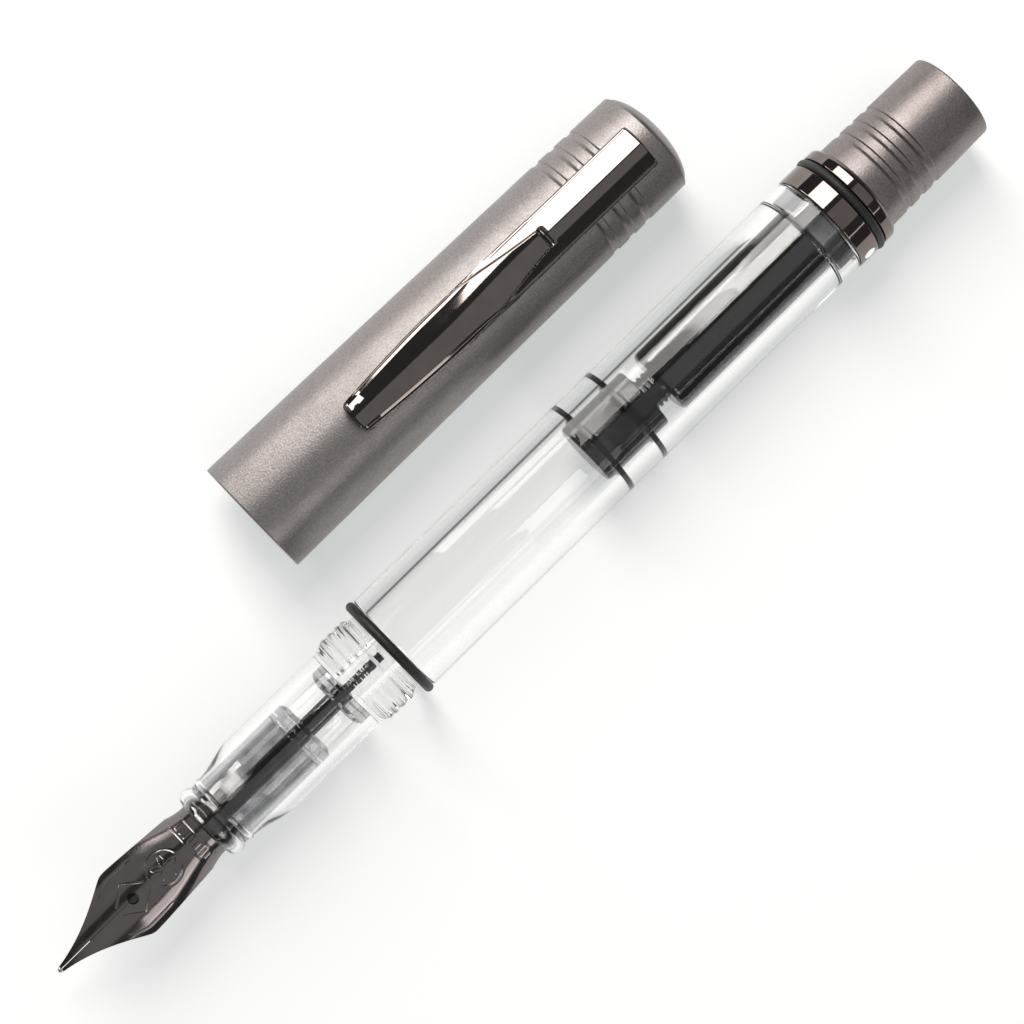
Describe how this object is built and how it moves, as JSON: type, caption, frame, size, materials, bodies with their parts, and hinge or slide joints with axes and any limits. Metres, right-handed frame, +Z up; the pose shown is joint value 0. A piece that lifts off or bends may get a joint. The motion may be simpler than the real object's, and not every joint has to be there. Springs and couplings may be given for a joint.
{
  "type": "fountain pen",
  "caption": "Piston-filling demonstrator fountain pen, clear barrel and grip, dark nib, satin knob, with its tapered screw cap and spring clip lying alongside.",
  "frame": {"origin": "bottom centre of the whole object, on the surface that the pen and its cap lie on", "axes": "+X along the pen from the nib to the piston knob, +Y from the pen to the cap beside it, +Z up"},
  "size_m": [0.1368, 0.0342, 0.0162],
  "materials": {
    "clear_acrylic": "clear, polished",
    "satin_gunmetal": "fine blasted satin, warm grey",
    "polished_gunmetal": "mirror polished, dark",
    "black_nickel": "mirror polished, very dark",
    "dark_plated_steel": "dark plated, polished",
    "polished_steel": "polished",
    "black_plastic": "gloss",
    "smoked_plastic": "smoked translucent",
    "white_plastic": "plain",
    "white_enamel": "gloss",
    "black_rubber": "matte"
  },
  "bodies": {
    "pen_body": {"barrel": "clear_acrylic", "nib": "dark_plated_steel", "nib_tipping": "polished_steel", "feed": "black_plastic", "nib_housing": "smoked_plastic", "front_o_ring": "black_rubber", "rear_o_ring": "black_rubber", "trim_ring": "polished_gunmetal", "index_dot": "white_enamel", "piston_sleeve": "black_plastic", "thrust_washer": "white_plastic"},
    "knob": {"knob": "satin_gunmetal", "drive_screw": "polished_steel"},
    "piston": {"piston_seal": "smoked_plastic", "piston_hub": "black_plastic", "piston_rod": "black_plastic"},
    "cap_core": {"inner_cap": "black_plastic", "cap_thread_insert": "black_plastic"},
    "cap_shell": {"cap_tube": "satin_gunmetal", "cap_crown": "satin_gunmetal", "crown_screw": "polished_steel"},
    "clip": {"clip": "black_nickel"}
  },
  "joints": [
    {"name": "knob_turn", "type": "hinge", "parent": "pen_body", "child": "knob", "pos_m": [0.056, -0.01052, 0.0066], "axis": [1, 0, 0], "range_deg": [0, 1260.5]},
    {"name": "piston_slide", "type": "slide", "parent": "pen_body", "child": "piston", "axis": [-1, 0, 0], "range_m": [0, 0.0265]},
    {"name": "cap_slide", "type": "slide", "parent": "pen_body", "child": "cap_core", "axis": [1, -0.0079, 0], "range_m": [0, 0.055]},
    {"name": "cap_turn", "type": "hinge", "parent": "cap_core", "child": "cap_shell", "pos_m": [0.01061, 0.00974, 0.0068], "axis": [0.9999, -0.0079, -0.0117], "range_deg": [0, 630]},
    {"name": "clip_flex", "type": "hinge", "parent": "cap_shell", "child": "clip", "pos_m": [0.03798, 0.00913, 0.01292], "axis": [0.0086, 0.9981, 0.061], "range_deg": [0, 3.5], "stiffness_Nm_per_rad": 3}
  ],
  "couplings": [
    {"joint": "knob_turn", "follows": "piston_slide", "rad_per_m": 829.85}
  ]
}
